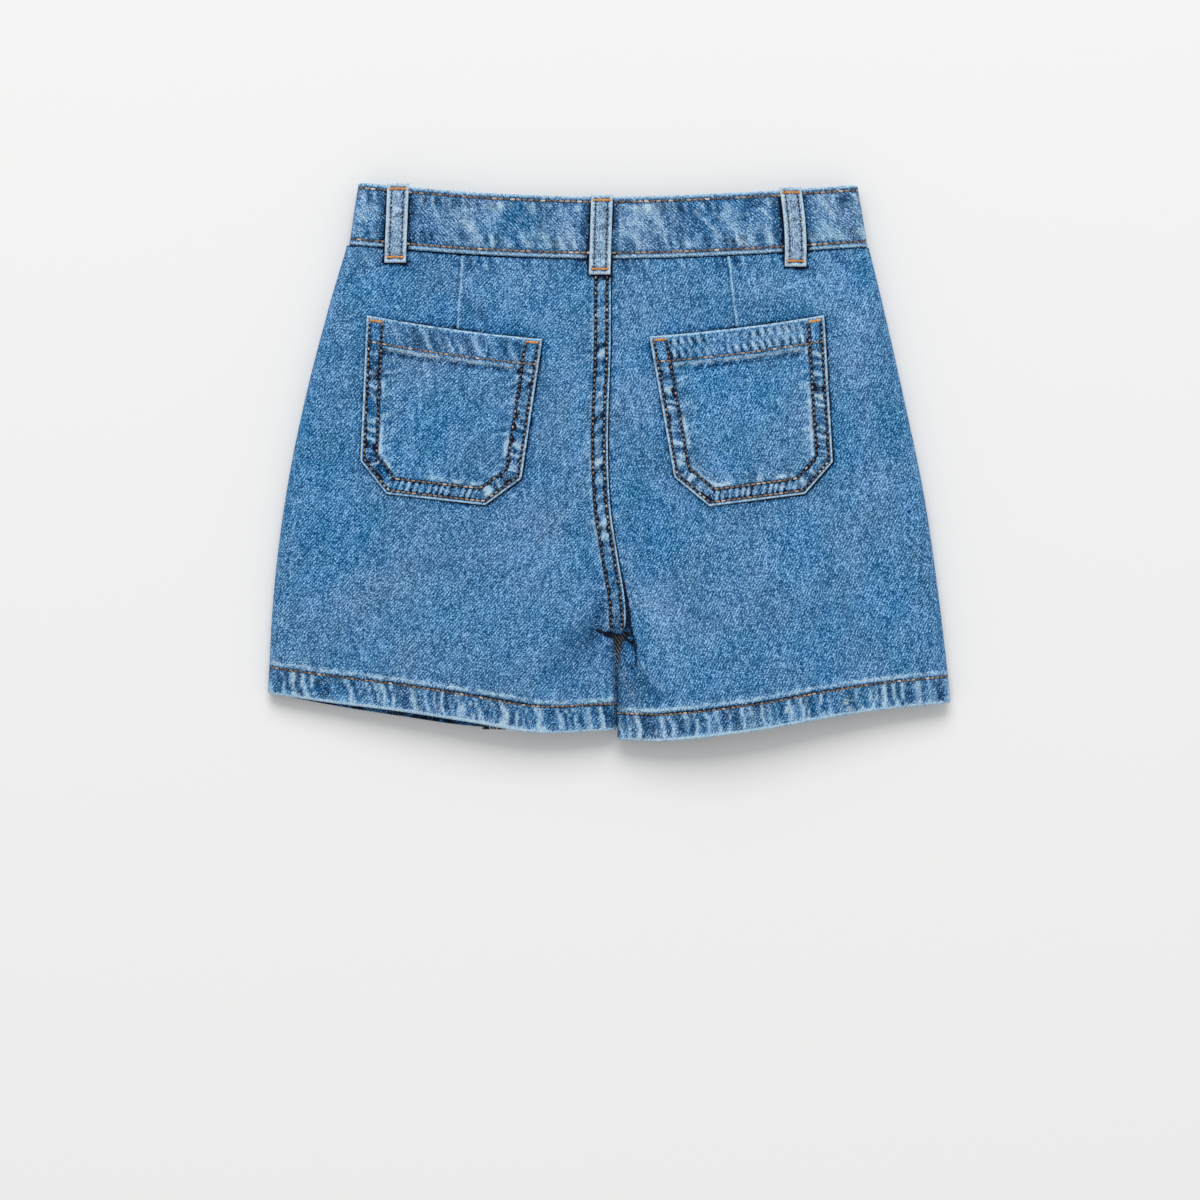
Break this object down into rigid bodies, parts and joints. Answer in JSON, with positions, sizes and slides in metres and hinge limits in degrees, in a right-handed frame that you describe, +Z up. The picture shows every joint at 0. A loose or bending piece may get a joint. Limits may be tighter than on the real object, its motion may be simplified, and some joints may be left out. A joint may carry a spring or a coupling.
{
  "type": "denim skort",
  "caption": "Denim skort lying flat on its front: short legs under a wrap panel, patch back pockets, belt loops and a waistband.",
  "frame": {"origin": "on the surface that the garment lies on, under the middle of its box", "axes": "+X towards the wearer's right side, +Y towards the waist, +Z up from the surface to the garment's back"},
  "size_m": [0.4519, 0.3681, 0.0227],
  "materials": {
    "denim": "stone-washed mid-blue cotton twill, matt",
    "thread": "copper-brown topstitching thread",
    "button_metal": "aged copper-brass, satin"
  },
  "bodies": {
    "root": {"back_left": "denim", "back_right": "denim", "front_left": "denim", "front_right": "denim", "skirt_front": "denim", "pocket_left": "denim", "pocket_right": "denim", "waistband": "denim", "loop_back_left": "denim", "loop_back_centre": "denim", "loop_back_right": "denim", "loop_front_left": "denim", "loop_front_right": "denim", "button": "button_metal"}
  },
  "joints": []
}
